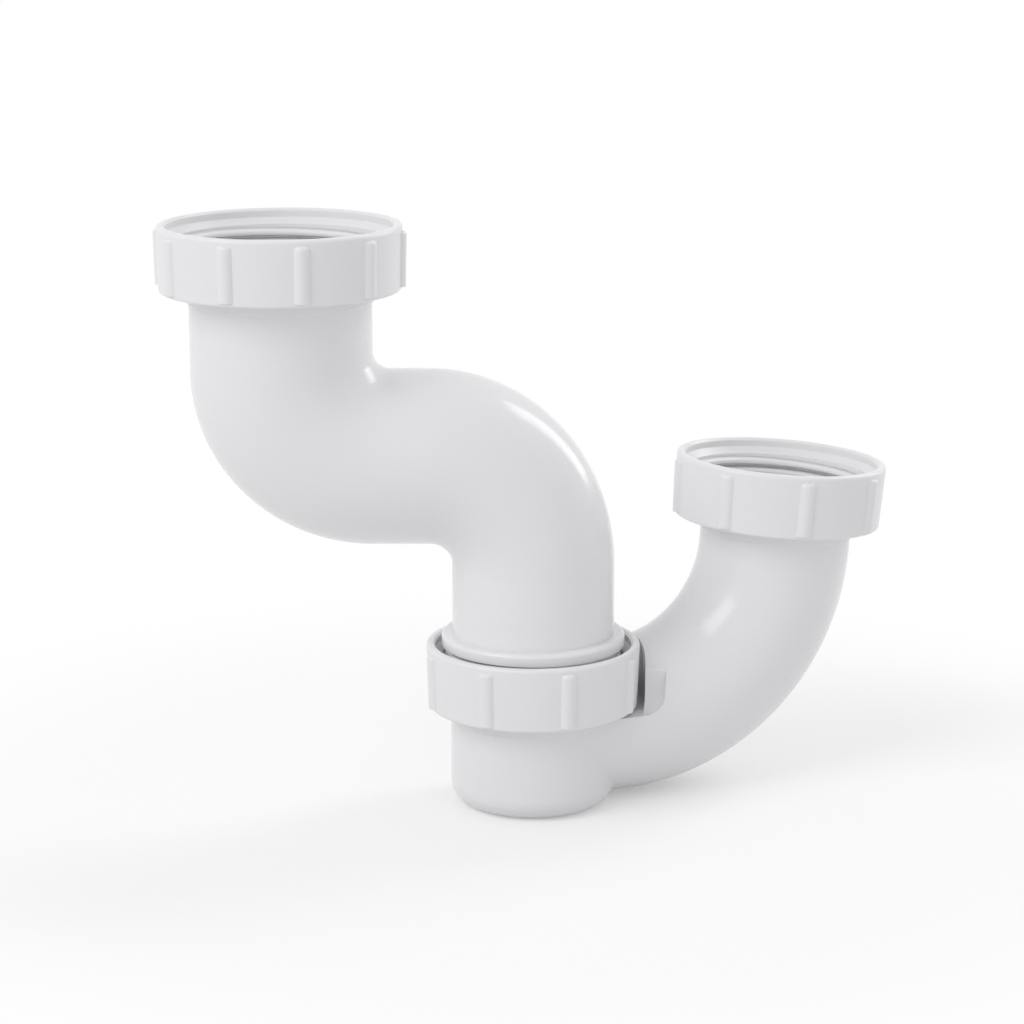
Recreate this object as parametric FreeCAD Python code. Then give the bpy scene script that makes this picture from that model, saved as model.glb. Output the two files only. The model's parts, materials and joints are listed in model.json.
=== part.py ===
import FreeCAD, Part
import math
import os
from dataclasses import dataclass

# Swivel trap for a basin or sink waste, moulded in polypropylene.
# An S-shaped inlet bend screws into the neck of a trap body, which is a cup
# with an upswept outlet bend. Each joint has a ribbed nut that turns freely
# behind a flange and closes on a flat washer.
#
# Frame: millimetres, +Z up. The origin is the centre of the flat underside of
# the cup, and Z runs up the axis of the union. The inlet bend reaches out
# towards -X, and the outlet bend stands swung round from +X towards +Y.

# Inlet connection, a one and a half inch pipe thread
INLET_THREAD_MAJOR = 47.80
INLET_THREAD_MINOR = 44.85
INLET_NUT_TOP_DIAMETER = 54.8
INLET_NUT_FOOT_DIAMETER = 54.2
INLET_NUT_HEIGHT = 14.8
INLET_NECK_DIAMETER = 40.2
INLET_RIB_COUNT = 10
INLET_RIB_TURN = 14.5

# Union and outlet connections, a one and a quarter inch pipe thread
BRANCH_THREAD_MAJOR = 41.91
BRANCH_THREAD_MINOR = 38.95
BRANCH_NUT_TOP_DIAMETER = 49.0
BRANCH_NUT_FOOT_DIAMETER = 48.0
BRANCH_NUT_HEIGHT = 14.8
BRANCH_NECK_DIAMETER = 34.4
BRANCH_RIB_COUNT = 8
UNION_RIB_TURN = 18.9
OUTLET_RIB_TURN = 10.0

# Ribs, mouth and floor that all the nuts share
RIB_RADIUS = 2.0
RIB_PROUD = 1.1
RIB_TOP_GAP = 1.3
RIB_FOOT_GAP = 1.0
RIB_END_ROUND = 0.9
NUT_FLOOR = 2.6
MOUTH_DEPTH = 3.4
MOUTH_WALL = 2.0
MOUTH_LEAD = 0.5
CREST_ROUND = 0.8
FOOT_ROUND = 0.7

# Flat washers
WASHER_THICKNESS = 2.0

# Flanges that the nuts pull on, and the land that shows under each nut
FLANGE_THICKNESS = 2.2
LAND_HEIGHT = 2.6
LAND_STEP = 0.35

# Inlet bend, from its top leg down to the union
INLET_LEG_DIAMETER = 41.0
MIDDLE_RUN_DIAMETER = 39.8
LOWER_LEG_DIAMETER = 37.0
INLET_WALL = 2.7
INLET_OFFSET = 56.6
INLET_HEIGHT = 134.1
MIDDLE_RUN_HEIGHT = 81.2
UPPER_INSIDE_RADIUS = 3.8
UPPER_OUTSIDE_LEAD = 4.2
LOWER_INSIDE_RADIUS = 5.0
LOWER_OUTSIDE_LEAD = 0.0
COLLAR_HEIGHT = 2.7
COLLAR_ROUND = 1.0
COLLAR_ROUND_SHARE = 0.9
COLLAR_DIP = 0.3

# Trap body: cup, neck and outlet bend
UNION_HEIGHT = 37.8
CUP_DIAMETER = 37.8
CUP_WALL = 2.5
CUP_FLOOR = 3.0
CUP_EDGE_RADIUS = 5.0
OUTLET_PIPE_DIAMETER = 35.2
OUTLET_WALL = 2.5
OUTLET_AXIS_HEIGHT = 18.1
OUTLET_RUN = 21.5
OUTLET_BEND_RADIUS = 40.0
OUTLET_SWEEP = 85.8
OUTLET_LEG = 6.0
OUTLET_SWING = 22.0
CREASE_RADIUS = 1.5

# Hollow in the outlet bend that lets fingers reach the union nut
RECESS_REACH = 4.2
RECESS_HEIGHT = 9.8
RECESS_ROUND = 3.8

# Clearances
THREAD_CLEARANCE = 0.05
FLANGE_CLEARANCE = 0.30
NECK_CLEARANCE = 0.40
FLANGE_GAP = 0.30
SHOULDER_GAP = 0.30
SWING_CLEARANCE = 0.80
COLLAR_CLEARANCE = 1.50

# Rings in each lofted elbow, and how near an edge lies to the place it is sought at
BEND_SECTIONS = 12
NEARNESS = 0.01

ORIGIN = FreeCAD.Vector(0, 0, 0)
UP = FreeCAD.Vector(0, 0, 1)
ALONG_Y = FreeCAD.Vector(0, 1, 0)


@dataclass(frozen=True)
class NutSize:
    """Sizes that set one kind of nut apart from another."""

    major: float
    minor: float
    top_diameter: float
    foot_diameter: float
    height: float
    neck_radius: float
    rib_count: int

    @property
    def thread_radius(self):
        return self.major / 2 + THREAD_CLEARANCE

    @property
    def spigot_radius(self):
        return self.minor / 2 - THREAD_CLEARANCE

    @property
    def seat_radius(self):
        return self.minor / 2

    @property
    def flange_radius(self):
        return self.seat_radius - FLANGE_CLEARANCE

    @property
    def bore_radius(self):
        return self.neck_radius + NECK_CLEARANCE

    @property
    def mouth_radius(self):
        return self.top_diameter / 2 - MOUTH_WALL

    @property
    def swing_radius(self):
        return max(self.top_diameter, self.foot_diameter) / 2 + RIB_PROUD + SWING_CLEARANCE


INLET_NUT = NutSize(
    INLET_THREAD_MAJOR, INLET_THREAD_MINOR, INLET_NUT_TOP_DIAMETER, INLET_NUT_FOOT_DIAMETER,
    INLET_NUT_HEIGHT, INLET_NECK_DIAMETER / 2, INLET_RIB_COUNT,
)
BRANCH_NUT = NutSize(
    BRANCH_THREAD_MAJOR, BRANCH_THREAD_MINOR, BRANCH_NUT_TOP_DIAMETER, BRANCH_NUT_FOOT_DIAMETER,
    BRANCH_NUT_HEIGHT, BRANCH_NECK_DIAMETER / 2, BRANCH_RIB_COUNT,
)

# Heights above a nut's foot
FLANGE_FOOT = NUT_FLOOR + FLANGE_GAP
FLANGE_TOP = FLANGE_FOOT + FLANGE_THICKNESS
WASHER_TOP = FLANGE_TOP + WASHER_THICKNESS

# Heights of the nuts' feet
INLET_FOOT = INLET_HEIGHT - INLET_NUT_HEIGHT
UNION_FOOT = UNION_HEIGHT - BRANCH_NUT_HEIGHT


def point(x, z, y=0.0):
    return FreeCAD.Vector(x, y, z)


def turned(outline):
    """Solid of revolution about Z from (radius, height) points."""
    corners = [point(r, z) for r, z in outline]
    profile = Part.makePolygon(corners + corners[:1])
    return Part.Face(profile).revolve(ORIGIN, UP, 360)


def rod(radius, low, high):
    """Cylinder about Z between two heights."""
    return Part.makeCylinder(radius, high - low, point(0, low))


def rims(shape, radius, height):
    """The full circles about Z that have this radius and height."""
    found = []
    for edge in shape.Edges:
        box = edge.BoundBox
        misses = (box.ZMin - height, box.ZMax - height, box.XMin + radius, box.XMax - radius)
        if max(abs(miss) for miss in misses) < NEARNESS:
            found.append(edge)
    return found


# Nuts

def nut_shell(size):
    """Nut without ribs, its foot at z = 0 and its mouth upwards.

    A plain seat holds the flange and the washer, and the thread's wall, at its
    major radius, runs from the top of the washer to the wider mouth.
    """
    top = size.top_diameter / 2
    foot = size.foot_diameter / 2
    mouth = size.mouth_radius
    shoulder = size.height - MOUTH_DEPTH
    shell = turned([
        (size.bore_radius, 0),
        (foot, 0),
        (top, size.height),
        (mouth + MOUTH_LEAD, size.height),
        (mouth, size.height - MOUTH_LEAD),
        (mouth, shoulder + mouth - size.thread_radius),
        (size.thread_radius, shoulder),
        (size.thread_radius, WASHER_TOP),
        (size.seat_radius, WASHER_TOP),
        (size.seat_radius, NUT_FLOOR),
        (size.bore_radius, NUT_FLOOR),
    ])
    shell = shell.makeFillet(CREST_ROUND, rims(shell, top, size.height))
    return shell.makeFillet(FOOT_ROUND, rims(shell, foot, 0))


def nut_rib(size):
    """One grip rib on the +X side, a round bar sunk in the leaning wall."""
    length = size.height - RIB_TOP_GAP - RIB_FOOT_GAP
    bar = Part.makeCylinder(RIB_RADIUS, length)
    bar = bar.makeFillet(RIB_END_ROUND, rims(bar, RIB_RADIUS, length))
    lean = math.degrees(math.atan2((size.top_diameter - size.foot_diameter) / 2, size.height))
    bar.rotate(ORIGIN, ALONG_Y, lean)
    bar.translate(point(size.foot_diameter / 2 + RIB_PROUD - RIB_RADIUS, RIB_FOOT_GAP))
    inside = rod(size.foot_diameter / 2 - RIB_PROUD, 0, size.height)
    return bar.cut(inside)


def nut(size, rib_turn):
    """Ribbed nut. The first rib stands rib_turn degrees from -Y towards +X."""
    ribs = []
    for k in range(size.rib_count):
        rib = nut_rib(size)
        rib.rotate(ORIGIN, UP, rib_turn - 90 + 360 * k / size.rib_count)
        ribs.append(rib)
    return nut_shell(size).multiFuse(ribs).removeSplitter()


# Pipe ends that the nuts turn on, with z = 0 at the nut's foot

def pipe_end(size, pipe_radius, start):
    """Pipe from start up to its flange, with the land and the neck between."""
    land = pipe_radius + LAND_STEP
    return turned([
        (0, start),
        (pipe_radius, start),
        (pipe_radius, -SHOULDER_GAP - LAND_HEIGHT),
        (land, -SHOULDER_GAP - LAND_HEIGHT + LAND_STEP),
        (land, -SHOULDER_GAP),
        (size.neck_radius, -SHOULDER_GAP),
        (size.neck_radius, FLANGE_FOOT),
        (size.flange_radius, FLANGE_FOOT),
        (size.flange_radius, FLANGE_TOP),
        (0, FLANGE_TOP),
    ])


def washer(size, bore_radius):
    """Flat washer lying on the flange."""
    ring = rod(size.flange_radius, FLANGE_TOP, WASHER_TOP)
    return ring.cut(rod(bore_radius, FLANGE_TOP, WASHER_TOP))


# Inlet bend

@dataclass(frozen=True)
class Elbow:
    """Moulded right-angle elbow with a tight inside and a wide outside.

    The axes meet at corner. back and ahead point along the two legs, away
    from the corner. The outside is a quarter ellipse with a straight lead at
    each end, and the inside is a quarter circle.
    """

    corner: FreeCAD.Vector
    back: FreeCAD.Vector
    ahead: FreeCAD.Vector
    back_radius: float
    ahead_radius: float
    inside_radius: float
    lead: float

    @property
    def back_reach(self):
        return self.ahead_radius + self.inside_radius

    @property
    def ahead_reach(self):
        return self.back_radius + self.inside_radius

    def inside_point(self, share):
        angle = share * math.pi / 2
        centre = self.corner + self.ahead * self.ahead_reach + self.back * self.back_reach
        return (centre - self.ahead * (self.inside_radius * math.cos(angle))
                - self.back * (self.inside_radius * math.sin(angle)))

    def outside_point(self, share):
        back_semi = self.back_reach + self.ahead_radius - self.lead
        ahead_semi = self.ahead_reach + self.back_radius - self.lead
        heel = self.corner - self.ahead * self.back_radius - self.back * self.ahead_radius
        centre = heel + self.back * back_semi + self.ahead * ahead_semi
        sweep = math.pi / 4 * (back_semi + ahead_semi)
        travel = share * (sweep + 2 * self.lead) - self.lead
        angle = min(max(travel / sweep, 0), 1) * math.pi / 2
        straight_back = max(-travel, 0)
        straight_ahead = max(travel - sweep, 0)
        return (centre - self.ahead * (ahead_semi * math.cos(angle) - straight_ahead)
                - self.back * (back_semi * math.sin(angle) - straight_back))

    def section(self, share):
        """Oval ring across the elbow, from its outside to its inside."""
        outer = self.outside_point(share)
        inner = self.inside_point(share)
        centre = (outer + inner) * 0.5
        across = (inner - outer) * 0.5
        half_depth = self.back_radius + (self.ahead_radius - self.back_radius) * share
        along = across.cross(ALONG_Y).normalize()
        place = FreeCAD.Matrix(
            across.x, 0, along.x, centre.x,
            across.y, half_depth, along.y, centre.y,
            across.z, 0, along.z, centre.z,
            0, 0, 0, 1,
        )
        ring = Part.Wire(Part.makeCircle(1))
        return Part.Wire(ring.transformGeometry(place).Edges)

    def solid(self):
        rings = [self.section(k / BEND_SECTIONS) for k in range(BEND_SECTIONS + 1)]
        return Part.makeLoft(rings, True, False)


def upper_elbow(wall):
    return Elbow(
        point(-INLET_OFFSET, MIDDLE_RUN_HEIGHT), point(0, 1), point(1, 0),
        INLET_LEG_DIAMETER / 2 - wall, MIDDLE_RUN_DIAMETER / 2 - wall,
        UPPER_INSIDE_RADIUS + wall, UPPER_OUTSIDE_LEAD,
    )


def lower_elbow(wall):
    return Elbow(
        point(0, MIDDLE_RUN_HEIGHT), point(-1, 0), point(0, -1),
        MIDDLE_RUN_DIAMETER / 2 - wall, LOWER_LEG_DIAMETER / 2 - wall,
        LOWER_INSIDE_RADIUS + wall, LOWER_OUTSIDE_LEAD,
    )


def middle_run(wall):
    """Level pipe between the two elbows."""
    start = -INLET_OFFSET + upper_elbow(wall).ahead_reach
    end = -lower_elbow(wall).back_reach
    return Part.makeCylinder(
        MIDDLE_RUN_DIAMETER / 2 - wall, end - start, point(start, MIDDLE_RUN_HEIGHT), point(1, 0),
    )


def spigot_end():
    """Lower leg with the collar above its male thread, ending on the washer."""
    leg = LOWER_LEG_DIAMETER / 2
    leg_top = MIDDLE_RUN_HEIGHT - lower_elbow(0).ahead_reach
    collar = BRANCH_NUT.mouth_radius - COLLAR_CLEARANCE
    collar_foot = UNION_HEIGHT - COLLAR_DIP
    collar_top = collar_foot + COLLAR_HEIGHT
    end = turned([
        (0, UNION_FOOT + WASHER_TOP),
        (BRANCH_NUT.spigot_radius, UNION_FOOT + WASHER_TOP),
        (BRANCH_NUT.spigot_radius, collar_foot),
        (collar, collar_foot),
        (collar, collar_top),
        (leg, collar_top),
        (leg, leg_top),
        (0, leg_top),
    ])
    edge_round = min(COLLAR_ROUND, (collar - leg) * COLLAR_ROUND_SHARE)
    return end.makeFillet(edge_round, rims(end, collar, collar_top))


def inlet_end():
    """Top leg of the inlet bend with its flange."""
    leg_foot = MIDDLE_RUN_HEIGHT + upper_elbow(0).back_reach
    end = pipe_end(INLET_NUT, INLET_LEG_DIAMETER / 2, leg_foot - INLET_FOOT)
    end.translate(point(-INLET_OFFSET, INLET_FOOT))
    return end


def inlet_bend():
    """Five hollow stretches, each joined to the next over the whole ring of its end."""
    top_bore = rod(INLET_LEG_DIAMETER / 2 - INLET_WALL,
                   MIDDLE_RUN_HEIGHT + upper_elbow(INLET_WALL).back_reach, INLET_HEIGHT)
    top_bore.translate(point(-INLET_OFFSET, 0))
    low_bore = rod(LOWER_LEG_DIAMETER / 2 - INLET_WALL,
                   UNION_FOOT, MIDDLE_RUN_HEIGHT - lower_elbow(INLET_WALL).ahead_reach)
    stretches = [
        inlet_end().cut(top_bore),
        upper_elbow(0).solid().cut(upper_elbow(INLET_WALL).solid()),
        middle_run(0).cut(middle_run(INLET_WALL)),
        lower_elbow(0).solid().cut(lower_elbow(INLET_WALL).solid()),
        spigot_end().cut(low_bore),
    ]
    return stretches[0].multiFuse(stretches[1:]).removeSplitter()


# Trap body

def cup_outside():
    """Cup from the floor up to the shoulder under the union nut, then its neck."""
    radius = CUP_DIAMETER / 2
    outside = pipe_end(BRANCH_NUT, radius, -UNION_FOOT)
    outside.translate(point(0, UNION_FOOT))
    return outside.makeFillet(CUP_EDGE_RADIUS, rims(outside, radius, 0))


def cup_bore():
    radius = CUP_DIAMETER / 2 - CUP_WALL
    neck = OUTLET_PIPE_DIAMETER / 2 - OUTLET_WALL
    land_foot = UNION_FOOT - SHOULDER_GAP - LAND_HEIGHT
    bore = turned([
        (0, CUP_FLOOR),
        (radius, CUP_FLOOR),
        (radius, land_foot),
        (neck, land_foot + radius - neck),
        (neck, UNION_HEIGHT),
        (0, UNION_HEIGHT),
    ])
    return bore.makeFillet(CUP_EDGE_RADIUS - CUP_WALL, rims(bore, radius, CUP_FLOOR))


def outlet_place(shape, distance):
    """Carries a shape from the origin to the outlet axis, past the bend's end."""
    sweep = math.radians(OUTLET_SWEEP)
    shape.rotate(ORIGIN, ALONG_Y, 90 - OUTLET_SWEEP)
    shape.translate(point(
        OUTLET_RUN + OUTLET_BEND_RADIUS * math.sin(sweep) + distance * math.cos(sweep),
        OUTLET_AXIS_HEIGHT + OUTLET_BEND_RADIUS * (1 - math.cos(sweep)) + distance * math.sin(sweep),
    ))
    shape.rotate(ORIGIN, UP, OUTLET_SWING)
    return shape


def outlet_pipe(radius):
    """Run from the cup's axis, then the swept bend, swung round the cup."""
    run = Part.makeCylinder(radius, OUTLET_RUN, point(0, OUTLET_AXIS_HEIGHT), point(1, 0))
    ring = Part.makeCircle(radius, point(OUTLET_RUN, OUTLET_AXIS_HEIGHT), point(1, 0))
    pivot = point(OUTLET_RUN, OUTLET_AXIS_HEIGHT + OUTLET_BEND_RADIUS)
    bend = Part.Face(Part.Wire(ring)).revolve(pivot, -ALONG_Y, OUTLET_SWEEP)
    pipe = run.fuse(bend)
    pipe.rotate(ORIGIN, UP, OUTLET_SWING)
    return pipe


def nut_hollow(wall):
    """Room round the union nut, grown by a wall for the bore behind it."""
    floor = UNION_FOOT - SWING_CLEARANCE - wall
    ledge = floor + RECESS_HEIGHT + 2 * wall
    near = BRANCH_NUT.swing_radius + wall
    far = near + RECESS_REACH
    sky = OUTLET_AXIS_HEIGHT + OUTLET_BEND_RADIUS
    hollow = turned([(0, floor), (far, floor), (far, ledge), (near, ledge), (near, sky), (0, sky)])
    return hollow.makeFillet(RECESS_ROUND, rims(hollow, far, floor))


def creases(shape, radius):
    """The curves on the cup's wall where the outlet pipe runs into it."""
    found = []
    for edge in shape.Edges:
        marks = edge.discretize(Number=5)
        on_wall = all(abs(math.hypot(mark.x, mark.y) - radius) < NEARNESS for mark in marks)
        if on_wall and edge.BoundBox.ZLength > CUP_EDGE_RADIUS and not isinstance(edge.Curve, Part.Line):
            found.append(edge)
    return found


def trap_body():
    outside_pipe = outlet_pipe(OUTLET_PIPE_DIAMETER / 2).cut(nut_hollow(0))
    outlet_end = outlet_place(pipe_end(BRANCH_NUT, OUTLET_PIPE_DIAMETER / 2, -OUTLET_LEG), OUTLET_LEG)
    outside = cup_outside().multiFuse([outside_pipe, outlet_end]).removeSplitter()
    outside = outside.makeFillet(CREASE_RADIUS, creases(outside, CUP_DIAMETER / 2))
    water_pipe = outlet_pipe(OUTLET_PIPE_DIAMETER / 2 - OUTLET_WALL).cut(nut_hollow(OUTLET_WALL))
    outlet_bore = outlet_place(
        rod(OUTLET_PIPE_DIAMETER / 2 - OUTLET_WALL, -OUTLET_LEG, BRANCH_NUT_HEIGHT), OUTLET_LEG,
    )
    bore = cup_bore().multiFuse([water_pipe, outlet_bore])
    return outside.cut(bore).removeSplitter()


def build():
    inlet_bore = INLET_LEG_DIAMETER / 2 - INLET_WALL
    outlet_bore = OUTLET_PIPE_DIAMETER / 2 - OUTLET_WALL
    parts = {
        "inlet_bend": inlet_bend(),
        "trap_body": trap_body(),
        "inlet_nut": nut(INLET_NUT, INLET_RIB_TURN),
        "inlet_washer": washer(INLET_NUT, inlet_bore),
        "union_nut": nut(BRANCH_NUT, UNION_RIB_TURN),
        "union_washer": washer(BRANCH_NUT, outlet_bore),
        "outlet_nut": outlet_place(nut(BRANCH_NUT, OUTLET_RIB_TURN - OUTLET_SWING), OUTLET_LEG),
        "outlet_washer": outlet_place(washer(BRANCH_NUT, outlet_bore), OUTLET_LEG),
    }
    for name in ("inlet_nut", "inlet_washer"):
        parts[name].translate(point(-INLET_OFFSET, INLET_FOOT))
    for name in ("union_nut", "union_washer"):
        parts[name].translate(point(0, UNION_FOOT))
    return parts


os.makedirs("parts", exist_ok=True)
for name, shape in build().items():
    shape.exportStep("parts/" + name + ".step")
    print(name, shape.isValid(), len(shape.Solids), round(shape.Volume, 1))
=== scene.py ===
"""Dresses a white swivel trap: moulded finishes, threads, a pale studio and the camera."""

import json
import logging
import math
from dataclasses import dataclass
from enum import Enum
from typing import Any

import bmesh
import bpy
from mathutils import Matrix, Vector

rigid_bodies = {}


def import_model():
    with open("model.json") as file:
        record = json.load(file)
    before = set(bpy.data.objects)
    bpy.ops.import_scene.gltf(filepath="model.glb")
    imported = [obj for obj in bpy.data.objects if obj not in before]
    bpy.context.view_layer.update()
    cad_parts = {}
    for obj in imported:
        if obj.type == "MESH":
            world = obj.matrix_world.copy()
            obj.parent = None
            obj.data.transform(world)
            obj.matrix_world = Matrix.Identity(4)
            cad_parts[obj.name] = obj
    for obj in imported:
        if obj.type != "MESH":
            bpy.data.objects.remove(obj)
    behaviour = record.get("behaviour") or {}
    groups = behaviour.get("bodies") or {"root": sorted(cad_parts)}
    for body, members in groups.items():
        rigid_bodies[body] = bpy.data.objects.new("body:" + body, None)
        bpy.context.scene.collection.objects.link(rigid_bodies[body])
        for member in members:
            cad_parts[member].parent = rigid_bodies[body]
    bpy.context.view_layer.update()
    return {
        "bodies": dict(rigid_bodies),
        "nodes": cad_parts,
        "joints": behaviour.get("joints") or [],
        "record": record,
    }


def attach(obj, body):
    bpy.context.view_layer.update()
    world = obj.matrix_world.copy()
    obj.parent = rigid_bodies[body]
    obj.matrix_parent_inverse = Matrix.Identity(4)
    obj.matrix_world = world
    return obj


MM = 0.001
LOG = logging.getLogger("trap")

Colour = tuple[float, float, float, float]
Place = tuple[float, float, float]
WHITE: Colour = (1.0, 1.0, 1.0, 1.0)
UP = Vector((0.0, 0.0, 1.0))

# The union's two threads share the foot that their heights start from, and the
# height of their ridges, which pass each other freely when the nut turns.
UNION_FOOT = Vector((0.0, 0.0, 23.0 * MM))
UNION_RIDGE = 0.68 * MM


class Link:
    """One shader value, which takes part in sums as a number would."""

    def __init__(self, graph: "Graph", socket: bpy.types.NodeSocket) -> None:
        """Keep the socket and the graph that it belongs to.

        Args:
            graph: Node graph that new Math nodes go into.
            socket: Output socket that carries the value.
        """
        self.graph = graph
        self.socket = socket

    def maths(self, operation: str, *values: "Link | float") -> "Link":
        """Add a Math node.

        Args:
            operation: Name of the Math node's operation.
            values: Its inputs, in order.

        Returns:
            The node's result.
        """
        return self.graph.add("ShaderNodeMath", {"operation": operation}, dict(enumerate(values)))

    def __add__(self, other: "Link | float") -> "Link":
        """Sum of this value and another."""
        return self.maths("ADD", self, other)

    def __radd__(self, other: float) -> "Link":
        """Sum of a number and this value."""
        return self.maths("ADD", other, self)

    def __sub__(self, other: "Link | float") -> "Link":
        """This value less another."""
        return self.maths("SUBTRACT", self, other)

    def __rsub__(self, other: float) -> "Link":
        """A number less this value."""
        return self.maths("SUBTRACT", other, self)

    def __mul__(self, other: "Link | float") -> "Link":
        """Product of this value and another."""
        return self.maths("MULTIPLY", self, other)

    def __rmul__(self, other: float) -> "Link":
        """Product of a number and this value."""
        return self.maths("MULTIPLY", other, self)

    def ramp(self, low: float, high: float) -> "Link":
        """Rise smoothly from 0 to 1 between two values.

        Args:
            low: Value that gives 0.
            high: Value that gives 1.

        Returns:
            The eased share.
        """
        settings = {"interpolation_type": "SMOOTHSTEP"}
        return self.graph.add("ShaderNodeMapRange", settings, {0: self, 1: low, 2: high})


class Graph:
    """The node graph of a material or a world, written as expressions."""

    def __init__(self, owner: bpy.types.Material | bpy.types.World) -> None:
        """Empty the owner's graph.

        Args:
            owner: New material or world.
        """
        owner.use_nodes = True
        self.owner = owner
        self.nodes = owner.node_tree.nodes
        self.links = owner.node_tree.links
        self.nodes.clear()

    def node(
        self, kind: str, settings: dict[str, Any] | None = None, inputs: dict[str | int, Any] | None = None
    ) -> bpy.types.Node:
        """Add any node.

        Args:
            kind: The node's type.
            settings: Properties of the node, which are set before its sockets.
            inputs: Socket names or numbers, each with a value or a Link.

        Returns:
            The new node.
        """
        made = self.nodes.new(kind)
        for key, value in (settings or {}).items():
            setattr(made, key, value)
        for key, value in (inputs or {}).items():
            if isinstance(value, Link):
                self.links.new(value.socket, made.inputs[key])
            else:
                made.inputs[key].default_value = value
        return made

    def add(
        self,
        kind: str,
        settings: dict[str, Any] | None = None,
        inputs: dict[str | int, Any] | None = None,
        output: str | int = 0,
    ) -> Link:
        """Add any node and take one of its outputs.

        Args:
            kind: The node's type.
            settings: As in node().
            inputs: As in node().
            output: Name or number of the output socket.

        Returns:
            The output as a Link.
        """
        return Link(self, self.node(kind, settings, inputs).outputs[output])

    def blend(self, share: Link, first: Colour | Link, second: Colour | Link) -> Link:
        """Mix two colours.

        Args:
            share: 0 gives the first colour and 1 the second.
            first: A colour or a Link.
            second: A colour or a Link.

        Returns:
            The mixed colour.
        """
        settings = {"data_type": "RGBA"}
        return self.add("ShaderNodeMix", settings, {0: share, 6: first, 7: second}, 2)

    def noise(self, size: float, detail: float = 2.0) -> Link:
        """Noise in the part's own space.

        Args:
            size: Width of the noise's features, in metres.
            detail: Octaves of finer noise.

        Returns:
            A value round 0.5.
        """
        where = self.add("ShaderNodeTexCoord", None, None, "Object")
        inputs = {"Vector": where, "Scale": 1 / size, "Detail": detail, "Roughness": 0.5}
        return self.add("ShaderNodeTexNoise", None, inputs, "Fac")

    def bump(self, height: Link) -> Link:
        """Turn a height in metres into a shading normal.

        Args:
            height: Height above the mesh, in metres.

        Returns:
            The bumped normal.
        """
        return self.add("ShaderNodeBump", None, {"Strength": 1.0, "Distance": 1.0, "Height": height})

    def seen(self) -> Link:
        """Tell whether a ray shows the backdrop, straight or by reflection.

        Returns:
            1 for camera, glossy and transmitted rays, and 0 for rays that only light.
        """
        path = self.node("ShaderNodeLightPath")
        camera, glossy, through = (
            Link(self, path.outputs[name]) for name in ("Is Camera Ray", "Is Glossy Ray", "Is Transmission Ray")
        )
        return camera.maths("MAXIMUM", camera, glossy.maths("MAXIMUM", glossy, through))

    def finish(self, shader: Link) -> bpy.types.Material | bpy.types.World:
        """Join a shader to the output.

        Args:
            shader: The closing shader.

        Returns:
            The material or world that the graph belongs to.
        """
        kind = "World" if isinstance(self.owner, bpy.types.World) else "Material"
        self.node("ShaderNodeOutput" + kind, None, {"Surface": shader})
        return self.owner


def skinned(name: str, rings: list[list[Vector]], joined: bool = False) -> bpy.types.Mesh:
    """Join rings of points into a closed mesh.

    Args:
        name: Name of the mesh.
        rings: Rings with as many points each, in order.
        joined: Whether the last ring meets the first. The ends are capped where it doesn't.

    Returns:
        The mesh.
    """
    shape = bmesh.new()
    loops = [[shape.verts.new(place) for place in ring] for ring in rings]
    pairs = list(zip(loops, loops[1:]))
    if joined:
        pairs.append((loops[-1], loops[0]))
    else:
        shape.faces.new(loops[0])
        shape.faces.new(list(reversed(loops[-1])))
    for first, second in pairs:
        for k in range(len(first)):
            after = (k + 1) % len(first)
            shape.faces.new((first[k], first[after], second[after], second[k]))
    bmesh.ops.recalc_face_normals(shape, faces=shape.faces)
    made = bpy.data.meshes.new(name)
    shape.to_mesh(made)
    shape.free()
    return made


def placed(name: str, data: bpy.types.ID) -> bpy.types.Object:
    """Put a mesh, lamp or camera in the scene.

    Args:
        name: Name of the object.
        data: What it holds.

    Returns:
        The object.
    """
    piece = bpy.data.objects.new(name, data)
    bpy.context.scene.collection.objects.link(piece)
    return piece


@dataclass(frozen=True)
class MouldedPlastic:
    """White polypropylene as it leaves the mould.

    Attributes:
        name: Name of the material.
        colour: Main colour.
        shade: Colour of the patches where the skin is a touch thinner.
        roughness: Roughness where the tool was polished best.
        spread: How much rougher the duller patches are.
        flow_size: Width of the slow waves that the shrinking plastic leaves, in metres.
        flow_depth: Height of those waves, in metres.
        grain_size: Width of the tool's fine grain, in metres.
        grain_depth: Height of that grain, in metres.
        glow: Share of the light that scatters under the skin.
    """

    name: str
    colour: Colour = (0.868, 0.866, 0.884, 1.0)
    shade: Colour = (0.865, 0.863, 0.882, 1.0)
    roughness: float = 0.17
    spread: float = 0.03
    flow_size: float = 0.011
    flow_depth: float = 0.000008
    grain_size: float = 0.0007
    grain_depth: float = 0.0000004
    glow: float = 0.12

    # Width of the dull patches over that of the waves.
    PATCH_STRETCH = 1.6

    def material(self) -> bpy.types.Material:
        """Build the material.

        Returns:
            The finished material.
        """
        graph = Graph(bpy.data.materials.new(self.name))
        patches = graph.noise(self.flow_size * self.PATCH_STRETCH)
        height = graph.noise(self.flow_size, 1.0) * self.flow_depth
        height = height + graph.noise(self.grain_size) * self.grain_depth
        shader = graph.add("ShaderNodeBsdfPrincipled", {"subsurface_method": "RANDOM_WALK"}, {
            "Base Color": graph.blend(patches, self.colour, self.shade),
            "Roughness": patches * self.spread + self.roughness,
            "IOR": 1.49,
            "Subsurface Weight": self.glow,
            "Subsurface Radius": (1.0, 0.95, 0.9),
            "Subsurface Scale": 0.0012,
            "Normal": graph.bump(height),
        })
        return graph.finish(shader)


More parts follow.
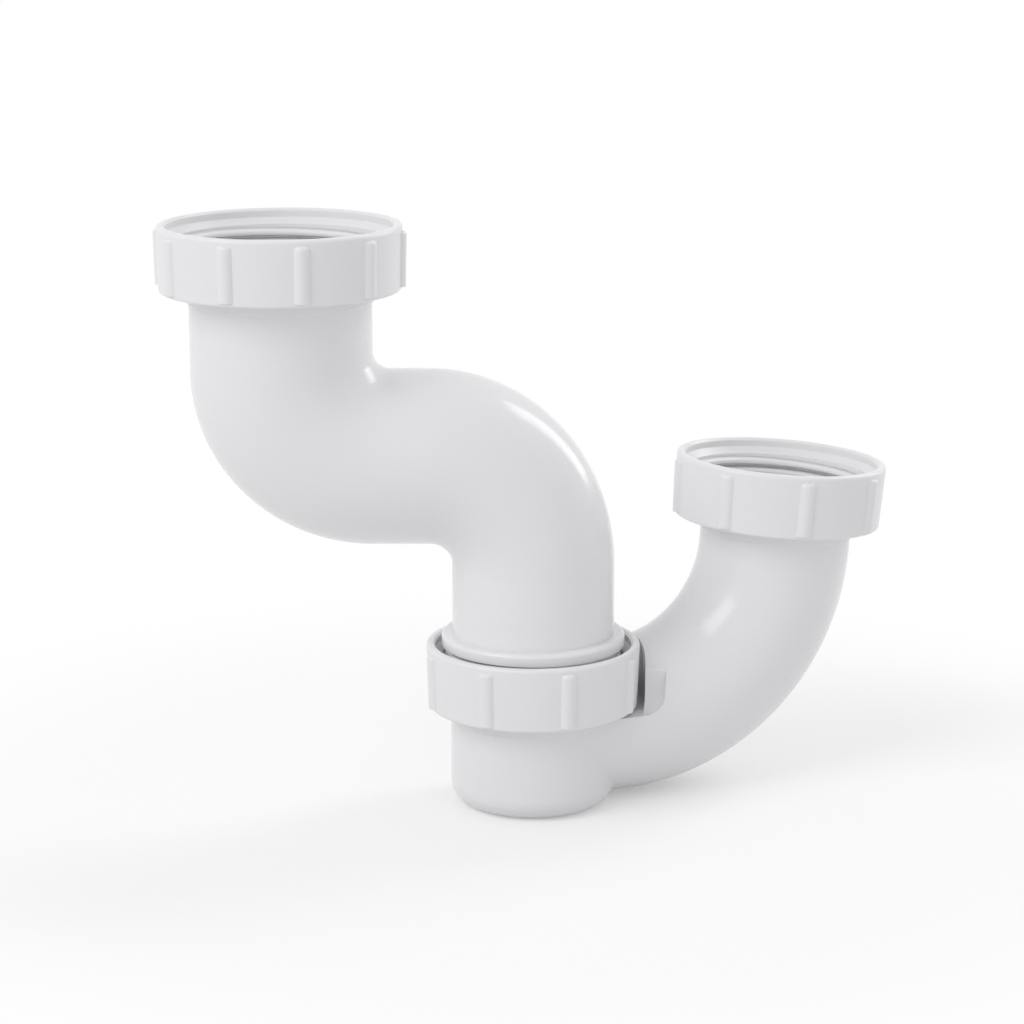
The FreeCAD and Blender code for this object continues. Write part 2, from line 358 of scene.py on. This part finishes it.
@dataclass(frozen=True)
class WasherSheet:
    """Soft pale sheet that the flat washers are cut from.

    Attributes:
        name: Name of the material.
        colour: Main colour.
        cloud: Colour of the faint clouds in it.
        cloud_size: Width of the clouds, in metres.
        roughness: Roughness of the smoother spots.
        spread: How much rougher the grain makes it.
        grain_size: Width of the sheet's grain, in metres.
        grain_depth: Height of the grain, in metres.
    """

    name: str = "flat_washer"
    colour: Colour = (0.80, 0.81, 0.80, 1.0)
    cloud: Colour = (0.76, 0.775, 0.765, 1.0)
    cloud_size: float = 0.006
    roughness: float = 0.55
    spread: float = 0.12
    grain_size: float = 0.0004
    grain_depth: float = 0.000006

    def material(self) -> bpy.types.Material:
        """Build the material.

        Returns:
            The finished material.
        """
        graph = Graph(bpy.data.materials.new(self.name))
        clouds = graph.noise(self.cloud_size, 4.0).ramp(0.35, 0.65)
        grain = graph.noise(self.grain_size, 3.0)
        shader = graph.add("ShaderNodeBsdfPrincipled", None, {
            "Base Color": graph.blend(clouds, self.colour, self.cloud),
            "Roughness": grain * self.spread + self.roughness,
            "IOR": 1.51,
            "Normal": graph.bump(grain * self.grain_depth),
        })
        return graph.finish(shader)


class Side(Enum):
    """Which side of a wall a thread's ridge stands on."""

    INNER = -1
    OUTER = 1


@dataclass(frozen=True)
class PipeThread:
    """Rounded helical ridge of a pipe thread, with its ends run out.

    Attributes:
        carrier: Node that the ridge is moulded on.
        body: Body that the node belongs to.
        slot: Material slot of that node. Not used.
        foot: Point on the thread's axis that heights are taken from, in metres.
        direction: Unit vector of the axis, towards the mouth.
        wall: Radius of the wall that the ridge stands on, in metres.
        depth: Height of the ridge, in metres.
        high: Height of the last crest, in metres.
        side: Whether the ridge points in or out.
        turns: Whole turns below the last crest.
        pitch: Rise in one turn, in metres.
    """

    carrier: str
    body: str
    slot: str
    foot: Vector
    direction: Vector
    wall: float
    depth: float
    high: float
    side: Side
    turns: int = 2
    pitch: float = 2.309 * MM

    # Profile: half widths as shares of the pitch, and the round between crest and flank.
    FOOT_SHARE = 0.46
    CREST_SHARE = 0.13
    SHOULDER_SHARE = 0.86
    SHOULDER_WIDTH = 1.6
    CREST_WIDTH = 0.7

    # Fineness, and how the ends run out into the wall that the ridge is sunk in.
    STEPS_A_TURN = 96
    TAPER_TURNS = 0.12
    THINNEST = 0.02
    SINK = 0.00008
    START = -math.pi / 2

    def section(self, share: float) -> list[tuple[float, float]]:
        """Outline across the ridge.

        Args:
            share: Share of the full height, which falls to nothing at the ends.

        Returns:
            (radius, height) points, from the foot over the crest to the foot.
        """
        foot = self.FOOT_SHARE * self.pitch
        shoulder_half = self.CREST_SHARE * self.pitch * self.SHOULDER_WIDTH
        crest_half = self.CREST_SHARE * self.pitch * self.CREST_WIDTH
        out = self.side.value
        root = self.wall - out * self.SINK
        tip = self.wall + out * self.depth * share
        shoulder = self.wall + out * self.depth * share * self.SHOULDER_SHARE
        return [
            (root, -foot),
            (shoulder, -shoulder_half),
            (tip, -crest_half),
            (tip, crest_half),
            (shoulder, shoulder_half),
            (root, foot),
        ]

    def mesh(self) -> bpy.types.Mesh:
        """Sweep the outline along its helix.

        Returns:
            A closed mesh about the Z axis.
        """
        count = self.turns * self.STEPS_A_TURN
        low = self.high - self.turns * self.pitch
        rings = []
        for step in range(count + 1):
            turn = self.turns * step / count
            ends = min(turn, self.turns - turn) / self.TAPER_TURNS
            share = max(math.sin(min(ends, 1.0) * math.pi / 2), self.THINNEST)
            angle = self.START + turn * math.tau
            rise = low + turn * self.pitch
            rings.append([
                Vector((radius * math.cos(angle), radius * math.sin(angle), rise + height))
                for radius, height in self.section(share)
            ])
        made = skinned(f"{self.carrier}_thread", rings)
        made.shade_smooth()
        return made

    def build(self, finish: bpy.types.Material) -> bpy.types.Object:
        """Make the ridge, seat it on its wall and tie it to its body.

        Args:
            finish: Material of the node that carries it.

        Returns:
            The ridge.
        """
        piece = placed(f"{self.carrier}_thread", self.mesh())
        turn = UP.rotation_difference(self.direction).to_matrix().to_4x4()
        piece.data.transform(Matrix.Translation(self.foot) @ turn)
        piece.data.materials.append(finish)
        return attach(piece, self.body)


@dataclass(frozen=True)
class RunFlank:
    """Skin of the outlet run beside the union nut, with a shallow scoop in each flank.

    It closes the hollow that the solid has there up to the run's own round, and
    leaves room for the nut's ribs to pass. Lengths are in metres and are taken
    along the outlet run, before the run is swung round the cup.

    Attributes:
        radius: Outside radius of the outlet pipe.
        height: Height of the run's axis.
        run: Length of the level run, from the cup's axis.
        bend: Radius of the bend's centre line.
        swing: Angle of the run from +X towards +Y, in degrees.
        near: Distance of the skin's edge from the union's axis.
        behind: Distance at which it meets the wall above the ledge.
        far: Distance at which the hollow ends.
        floor: Height of the hollow's floor.
        ledge: Height of the hollow's ledge.
        top: Height at which the skin's upper lip ends.
        scoop: Radius of the scoops.
        scoop_reach: Distance along the run at which a scoop leaves the skin.
        scoop_slope: Angle at which it sinks towards the nut, in degrees.
        scoop_rise: How far above the level it stands on the flank, in degrees.
    """

    radius: float = 17.6 * MM
    height: float = 18.1 * MM
    run: float = 21.5 * MM
    bend: float = 40.0 * MM
    swing: float = 22.0
    near: float = 25.85 * MM
    behind: float = 26.5 * MM
    far: float = 30.66 * MM
    floor: float = 22.15 * MM
    ledge: float = 32.06 * MM
    top: float = 42.0 * MM
    scoop: float = 8.0 * MM
    scoop_reach: float = 30.2 * MM
    scoop_slope: float = 20.0
    scoop_rise: float = 31.0

    # Points round a circle, degrees of the bend that the bar follows, and the angle
    # in degrees past which an edge stays sharp.
    ROUND_STEPS = 192
    BEND_SWEEP = 50
    SHARP_ANGLE = 28.0

    def circle(self, centre: Vector, radius: float, first: Vector, second: Vector) -> list[Vector]:
        """Points round a circle.

        Args:
            centre: Its centre.
            radius: Its radius.
            first: Unit vector across it.
            second: Unit vector across it, square to the first.

        Returns:
            The points in order.
        """
        angles = [math.tau * k / self.ROUND_STEPS for k in range(self.ROUND_STEPS)]
        return [centre + first * (radius * math.cos(a)) + second * (radius * math.sin(a)) for a in angles]

    def pipe(self) -> bpy.types.Mesh:
        """Solid bar with the outside of the run and of the bend's first part.

        Returns:
            Its mesh.
        """
        across = Vector((0.0, 1.0, 0.0))
        rings = [self.circle(Vector((self.run / 2, 0.0, self.height)), self.radius, across, UP)]
        for degrees in range(self.BEND_SWEEP + 1):
            turn = math.radians(degrees)
            inwards = Vector((-math.sin(turn), 0.0, math.cos(turn)))
            centre = Vector((self.run, 0.0, self.height + self.bend)) - inwards * self.bend
            rings.append(self.circle(centre, self.radius, across, inwards))
        return skinned("outlet_bar", rings)

    def ring(self) -> bpy.types.Mesh:
        """Ring round the union's axis that the skin is cut from.

        Returns:
            Its mesh.
        """
        outline = [
            (self.near, self.floor),
            (self.far, self.floor),
            (self.far, self.ledge),
            (self.behind, self.ledge),
            (self.behind, self.top),
            (self.near, self.top),
        ]
        angles = [math.tau * k / self.ROUND_STEPS for k in range(self.ROUND_STEPS)]
        rings = [[Vector((r * math.cos(a), r * math.sin(a), z)) for r, z in outline] for a in angles]
        return skinned("hollow_ring", rings, joined=True)

    def scoop_bar(self, side: Side) -> bpy.types.Mesh:
        """Round bar that scoops one flank.

        Args:
            side: INNER for the flank towards -Y, OUTER for the other.

        Returns:
            Its mesh.
        """
        rise = math.radians(self.scoop_rise)
        slope = math.radians(self.scoop_slope)
        along = Vector((1.0, 0.0, 0.0))
        out = Vector((0.0, side.value * math.cos(rise), math.sin(rise)))
        heading = along * math.cos(slope) + out * math.sin(slope)
        across = out * math.cos(slope) - along * math.sin(slope)
        end = Vector((self.scoop_reach, 0.0, self.height)) + out * (self.radius + self.scoop)
        ends = (end - heading * self.run, end + heading * self.run)
        return skinned("scoop_bar", [self.circle(at, self.scoop, across, heading.cross(across)) for at in ends])

    def build(self, finish: bpy.types.Material) -> bpy.types.Object:
        """Cut the skin and tie it to the trap body.

        Args:
            finish: Material of the trap body.

        Returns:
            The skin.
        """
        bar = placed("outlet_bar", self.pipe())
        tools = [
            ("INTERSECT", placed("hollow_ring", self.ring())),
            ("DIFFERENCE", placed("scoop_front", self.scoop_bar(Side.INNER))),
            ("DIFFERENCE", placed("scoop_back", self.scoop_bar(Side.OUTER))),
        ]
        for operation, tool in tools:
            cut = bar.modifiers.new(tool.name, "BOOLEAN")
            cut.operation = operation
            cut.solver = "EXACT"
            cut.object = tool
        graph = bpy.context.evaluated_depsgraph_get()
        made = bpy.data.meshes.new_from_object(bar.evaluated_get(graph))
        for spare in [bar] + [tool for _, tool in tools]:
            bpy.data.objects.remove(spare)
        made.transform(Matrix.Rotation(math.radians(self.swing), 4, "Z"))
        made.shade_smooth()
        made.set_sharp_from_angle(angle=math.radians(self.SHARP_ANGLE))
        made.materials.clear()
        made.materials.append(finish)
        piece = placed("outlet_run_flank", made)
        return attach(piece, "body")


def dress(frame: dict[str, Any], name: str, finish: bpy.types.Material) -> None:
    """Give one of the part's own nodes its finish.

    Args:
        name: The node.
        finish: Its material.
    """
    node = frame["nodes"][name]
    node.data.materials.clear()
    node.data.materials.append(finish)
    LOG.info("dressed %s", name)


@dataclass(frozen=True)
class TrapBody:
    """The cup with its upswept outlet bend.

    Attributes:
        flank: Skin over the hollow beside the union nut.
    """

    flank: RunFlank = RunFlank()

    def build(self, frame: dict[str, Any], finish: bpy.types.Material) -> None:
        """Dress the body and add its skin.

        Args:
            finish: Material of the bends.
        """
        dress(frame, "trap_body", finish)
        LOG.info("added %s", self.flank.build(finish).name)


@dataclass(frozen=True)
class InletBend:
    """The S-shaped bend, with the thread on its lower end.

    Attributes:
        nut_wall: Radius of the union nut's inner wall, in metres.
        inset: How much smaller in radius the bend's threaded end is, in metres.
        high: Height of the thread's last crest over the union nut's foot, in metres.
    """

    nut_wall: float
    inset: float = 1.58 * MM
    high: float = 13.2 * MM

    def build(self, frame: dict[str, Any], finish: bpy.types.Material) -> None:
        """Dress the bend and add its thread.

        Args:
            finish: Material of the bends.
        """
        dress(frame, "inlet_bend", finish)
        wall = self.nut_wall - self.inset
        thread = PipeThread(
            "inlet_bend", "bend", "moulded_bend", UNION_FOOT, UP, wall, UNION_RIDGE, self.high, Side.OUTER
        )
        LOG.info("added %s", thread.build(finish).name)


@dataclass(frozen=True)
class SlipNut:
    """A ribbed nut, with the thread inside it.

    Attributes:
        place: Where the nut sits: inlet, union or outlet.
        foot: Point on its axis that the thread's heights are taken from, in metres.
        axis: Unit vector of its axis, towards the mouth.
        wall: Radius of its inner wall, in metres.
        high: Height of the thread's last crest, in metres.
        ridge: Height of the thread's ridge, in metres.
    """

    place: str
    foot: Vector
    axis: Vector
    wall: float
    high: float
    ridge: float = 1.45 * MM

    # Plain wall between the last crest and the mouth, and the last crest's height in
    # the union, where the bend's collar sits over it.
    RIM = 0.7 * MM
    UNION_HIGH = 10.6 * MM

    @classmethod
    def waiting(cls, mount: dict[str, Any]) -> "SlipNut":
        """Describe a nut that waits for its pipe.

        Args:
            mount: The record's mount inside the nut.

        Returns:
            The nut.
        """
        dims = mount["dims"]
        high = dims["length_mm"] * MM / 2 - cls.RIM
        return cls(mount["name"], Vector(mount["pos_m"]), Vector(mount["axis"]), dims["r_mm"] * MM, high)

    @classmethod
    def union(cls, wall: float) -> "SlipNut":
        """Describe the nut that closes the union.

        Args:
            wall: Radius of its inner wall, in metres.

        Returns:
            The nut, with a shallow thread that passes the bend's freely.
        """
        return cls("union", UNION_FOOT, UP, wall, cls.UNION_HIGH, UNION_RIDGE)

    def build(self, frame: dict[str, Any], finish: bpy.types.Material) -> None:
        """Dress the nut and add its thread.

        Args:
            finish: Material of the nuts.
        """
        dress(frame, f"{self.place}_nut", finish)
        thread = PipeThread(
            f"{self.place}_nut", f"{self.place}_ring", "moulded_nut", self.foot, self.axis, self.wall, self.ridge,
            self.high, Side.INNER,
        )
        LOG.info("added %s", thread.build(finish).name)


@dataclass(frozen=True)
class WasherSet:
    """The three flat washers.

    Attributes:
        places: Where they lie.
    """

    places: tuple[str, ...] = ("inlet", "union", "outlet")

    def build(self, frame: dict[str, Any], finish: bpy.types.Material) -> None:
        """Dress the washers.

        Args:
            finish: Material of the washers.
        """
        for place in self.places:
            dress(frame, f"{place}_washer", finish)


@dataclass(frozen=True)
class SoftBox:
    """A square studio lamp with a soft front.

    Attributes:
        name: Name of the lamp.
        place: Where it stands, in metres.
        target: What it faces, in metres.
        size: Width and height, in metres.
        power: Power in watts.
    """

    name: str
    place: Place
    target: Place
    size: tuple[float, float]
    power: float

    def build(self) -> bpy.types.Object:
        """Hang the lamp.

        Returns:
            The lamp.
        """
        data = bpy.data.lights.new(self.name, "AREA")
        data.shape = "RECTANGLE"
        data.size, data.size_y = self.size
        data.energy = self.power
        lamp = placed(self.name, data)
        lamp.location = self.place
        way = Vector(self.target) - Vector(self.place)
        lamp.rotation_mode = "QUATERNION"
        lamp.rotation_quaternion = way.to_track_quat("-Z", "Y")
        return lamp


@dataclass(frozen=True)
class Viewpoint:
    """Camera that sees the part as the photograph does.

    Attributes:
        target: Point at the centre of the picture, in metres.
        elevation: Angle that the camera looks down, in degrees.
        distance: From the target, in metres.
        lens: Focal length, in millimetres.
        sensor: Width of the sensor, in millimetres.
        nearest: Least distance that is drawn, in metres.
        farthest: Greatest distance that is drawn, in metres.
    """

    target: Place = (-0.00485, 0.0, 0.06815)
    elevation: float = 13.4
    distance: float = 0.682
    lens: float = 105.47
    sensor: float = 36.0
    nearest: float = 0.01
    farthest: float = 20.0

    def build(self) -> bpy.types.Object:
        """Set up the scene's camera.

        Returns:
            The camera.
        """
        data = bpy.data.cameras.new("photo_camera")
        data.lens = self.lens
        data.sensor_width = self.sensor
        data.clip_start = self.nearest
        data.clip_end = self.farthest
        camera = placed("photo_camera", data)
        tilt = math.radians(self.elevation)
        back = Vector((0.0, -math.cos(tilt), math.sin(tilt)))
        camera.location = Vector(self.target) + back * self.distance
        camera.rotation_mode = "QUATERNION"
        camera.rotation_quaternion = (-back).to_track_quat("-Z", "Y")
        bpy.context.scene.camera = camera
        return camera


@dataclass(frozen=True)
class Studio:
    """Pale table, white surroundings and soft lamps.

    Attributes:
        reach: Half width of the table, in metres.
        gap: How far the table lies under the part, in metres.
        tone: How pale the table is.
        lift: Brightness that the table shows on top of its lit share.
        shadow: How much of the part's shadow the table shows.
        near: Distance from the part at which the table starts to fade into the backdrop, in metres.
        far: Distance at which it has faded, in metres.
        ambient: Strength of the light from the surroundings.
        lamps: The soft lamps.
    """

    reach: float = 3.0
    gap: float = 0.00005
    tone: float = 0.8
    lift: float = 0.22
    shadow: float = 0.85
    near: float = 0.1
    far: float = 0.2
    ambient: float = 0.66
    lamps: tuple[SoftBox, ...] = (
        SoftBox("window_left", (-0.9, -0.7, 1.0), (0, 0, 0.06), (0.8, 0.8), 5.8),
        SoftBox("strip_right", (0.75, 0.6, 0.62), (0, 0, 0.07), (0.3, 0.8), 2.6),
    )

    def table(self) -> bpy.types.Object:
        """Lay the table: it fades to white where it is seen, and keeps the part's shadow.

        Returns:
            The table.
        """
        shape = bmesh.new()
        corners = [(-1, -1), (1, -1), (1, 1), (-1, 1)]
        shape.faces.new([
            shape.verts.new((x * self.reach, y * self.reach, -self.gap)) for x, y in corners
        ])
        made = bpy.data.meshes.new("table")
        shape.to_mesh(made)
        shape.free()
        piece = placed("table", made)
        graph = Graph(bpy.data.materials.new("pale_table"))
        lit = graph.add("ShaderNodeBsdfDiffuse", None, {"Color": (self.tone, self.tone, self.tone, 1.0)})
        lift = graph.add("ShaderNodeEmission", None, {"Strength": self.lift})
        shown = graph.add("ShaderNodeAddShader", None, {0: lit, 1: lift})
        white = graph.add("ShaderNodeEmission", None, {"Strength": 1.0})
        where = graph.add("ShaderNodeTexCoord", None, None, "Object")
        away = graph.add("ShaderNodeVectorMath", {"operation": "LENGTH"}, {0: where}, "Value")
        share = self.shadow - self.shadow * away.ramp(self.near, self.far)
        faded = graph.add("ShaderNodeMixShader", None, {0: share, 1: white, 2: shown})
        shader = graph.add("ShaderNodeMixShader", None, {0: graph.seen(), 1: lit, 2: faded})
        made.materials.append(graph.finish(shader))
        return piece

    def surroundings(self) -> bpy.types.World:
        """Surround the part with white, at full strength where it is seen or mirrored.

        Returns:
            The world.
        """
        world = bpy.data.worlds.new("white_surroundings")
        graph = Graph(world)
        light = graph.add("ShaderNodeBackground", None, {"Color": WHITE, "Strength": self.ambient})
        shown = graph.add("ShaderNodeBackground", None, {"Color": WHITE, "Strength": 1.0})
        graph.finish(graph.add("ShaderNodeMixShader", None, {0: graph.seen(), 1: light, 2: shown}))
        bpy.context.scene.world = world
        return world

    def build(self) -> None:
        """Set up the table, the surroundings and the lamps."""
        self.table()
        self.surroundings()
        for lamp in self.lamps:
            lamp.build()


def main() -> None:
    """Build the part and its studio in order, and report each step."""
    logging.basicConfig(level=logging.INFO, format="%(message)s")
    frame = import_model()
    bend_finish = MouldedPlastic("moulded_bend").material()
    nut_finish = MouldedPlastic("moulded_nut", roughness=0.3, spread=0.05).material()
    mounts = {mount["name"]: mount for mount in frame["record"]["mounts"]}
    union_wall = mounts["outlet"]["dims"]["r_mm"] * MM
    TrapBody().build(frame, bend_finish)
    SlipNut.waiting(mounts["inlet"]).build(frame, nut_finish)
    SlipNut.waiting(mounts["outlet"]).build(frame, nut_finish)
    SlipNut.union(union_wall).build(frame, nut_finish)
    InletBend(union_wall).build(frame, bend_finish)
    WasherSet().build(frame, WasherSheet().material())
    Studio().build()
    Viewpoint().build()
    bpy.context.scene.view_settings.view_transform = "Standard"


if __name__ == "__main__":
    main()
